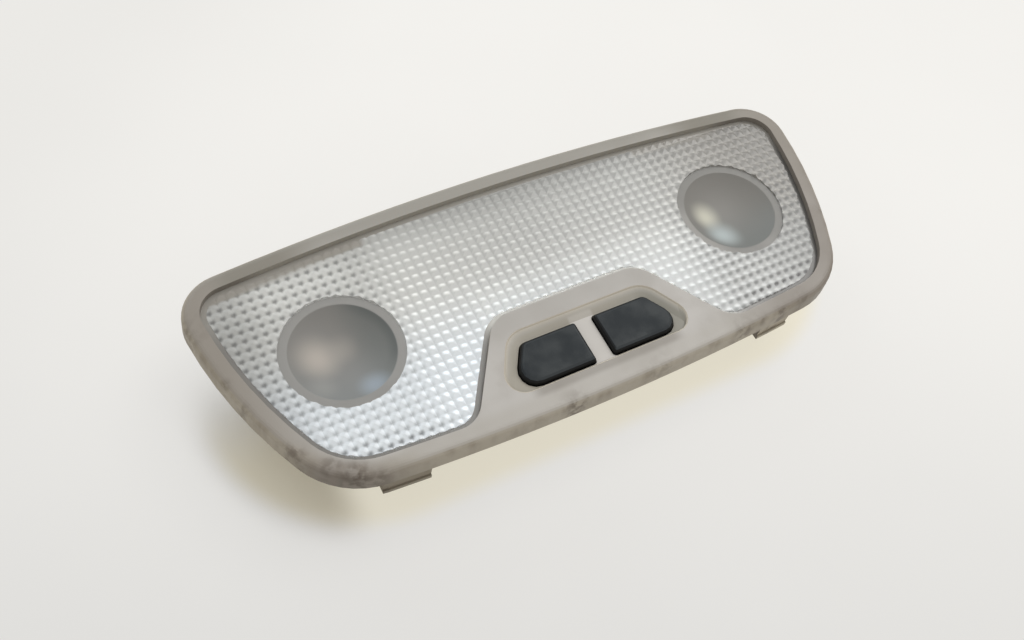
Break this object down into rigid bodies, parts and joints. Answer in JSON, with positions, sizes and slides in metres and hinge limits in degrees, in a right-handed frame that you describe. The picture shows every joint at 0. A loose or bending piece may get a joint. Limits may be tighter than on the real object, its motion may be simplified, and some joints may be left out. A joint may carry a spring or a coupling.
{
  "type": "rear seat ceiling light",
  "caption": "Rear seat roof light with a long prismatic lens, round reading spots at its ends, and push buttons in an island on one long edge.",
  "frame": {"origin": "middle of the outline, on the plane that the back of the housing rests on", "axes": "+X along the length, +Y towards the long edge without buttons, +Z out of the lens into the car"},
  "size_m": [0.2116, 0.0842, 0.0288],
  "materials": {
    "bezel_plastic": "fine grained warm grey moulding",
    "lens_clear": "clear moulded plastic with prisms, frosted bowls",
    "housing_plastic": "plain moulding",
    "reflector_white": "bright reflector",
    "reflector_bright": "metallised",
    "bulb_glass": "clear glass with metal ends",
    "holder_plastic": "plain heat-proof moulding",
    "contact_brass": "stamped strip",
    "button_plastic": "fine grained dark slate",
    "plunger_plastic": "plain moulding",
    "spring_steel": "bright spring steel",
    "switch_plastic": "plain moulding",
    "screw_steel": "zinc plated"
  },
  "bodies": {
    "lamp": {"bezel": "bezel_plastic", "lens": "lens_clear", "rear_housing": "housing_plastic", "centre_reflector": "reflector_white", "spot_reflector_left": "reflector_bright", "spot_reflector_right": "reflector_bright", "reading_bulb_left": "bulb_glass", "reading_bulb_right": "bulb_glass", "bulb_holder_left": "holder_plastic", "bulb_holder_right": "holder_plastic", "tube_bulb": "bulb_glass", "tube_bulb_clip_left": "contact_brass", "tube_bulb_clip_right": "contact_brass", "button_spring_left": "spring_steel", "button_spring_right": "spring_steel", "switch_body_left": "switch_plastic", "switch_body_right": "switch_plastic", "supply_strip": "contact_brass", "door_light_strip": "contact_brass", "ground_strip_left": "contact_brass", "ground_strip_right": "contact_brass", "switch_strip_left": "contact_brass", "switch_strip_right": "contact_brass", "connector_pins": "contact_brass", "spring_clip_left": "spring_steel", "spring_clip_right": "spring_steel", "housing_screws": "screw_steel"},
    "left_button": {"button_left": "button_plastic", "plunger_left": "plunger_plastic"},
    "right_button": {"button_right": "button_plastic", "plunger_right": "plunger_plastic"}
  },
  "joints": [
    {"name": "button_left_press", "type": "slide", "parent": "lamp", "child": "left_button", "axis": [0, 0, -1], "range_m": [0, 0.0018], "stiffness_N_per_m": 250, "springref_m": -0.002, "deforming": ["button_spring_left"]},
    {"name": "button_right_press", "type": "slide", "parent": "lamp", "child": "right_button", "axis": [0, 0, -1], "range_m": [0, 0.0018], "stiffness_N_per_m": 250, "springref_m": -0.002, "deforming": ["button_spring_right"]}
  ]
}
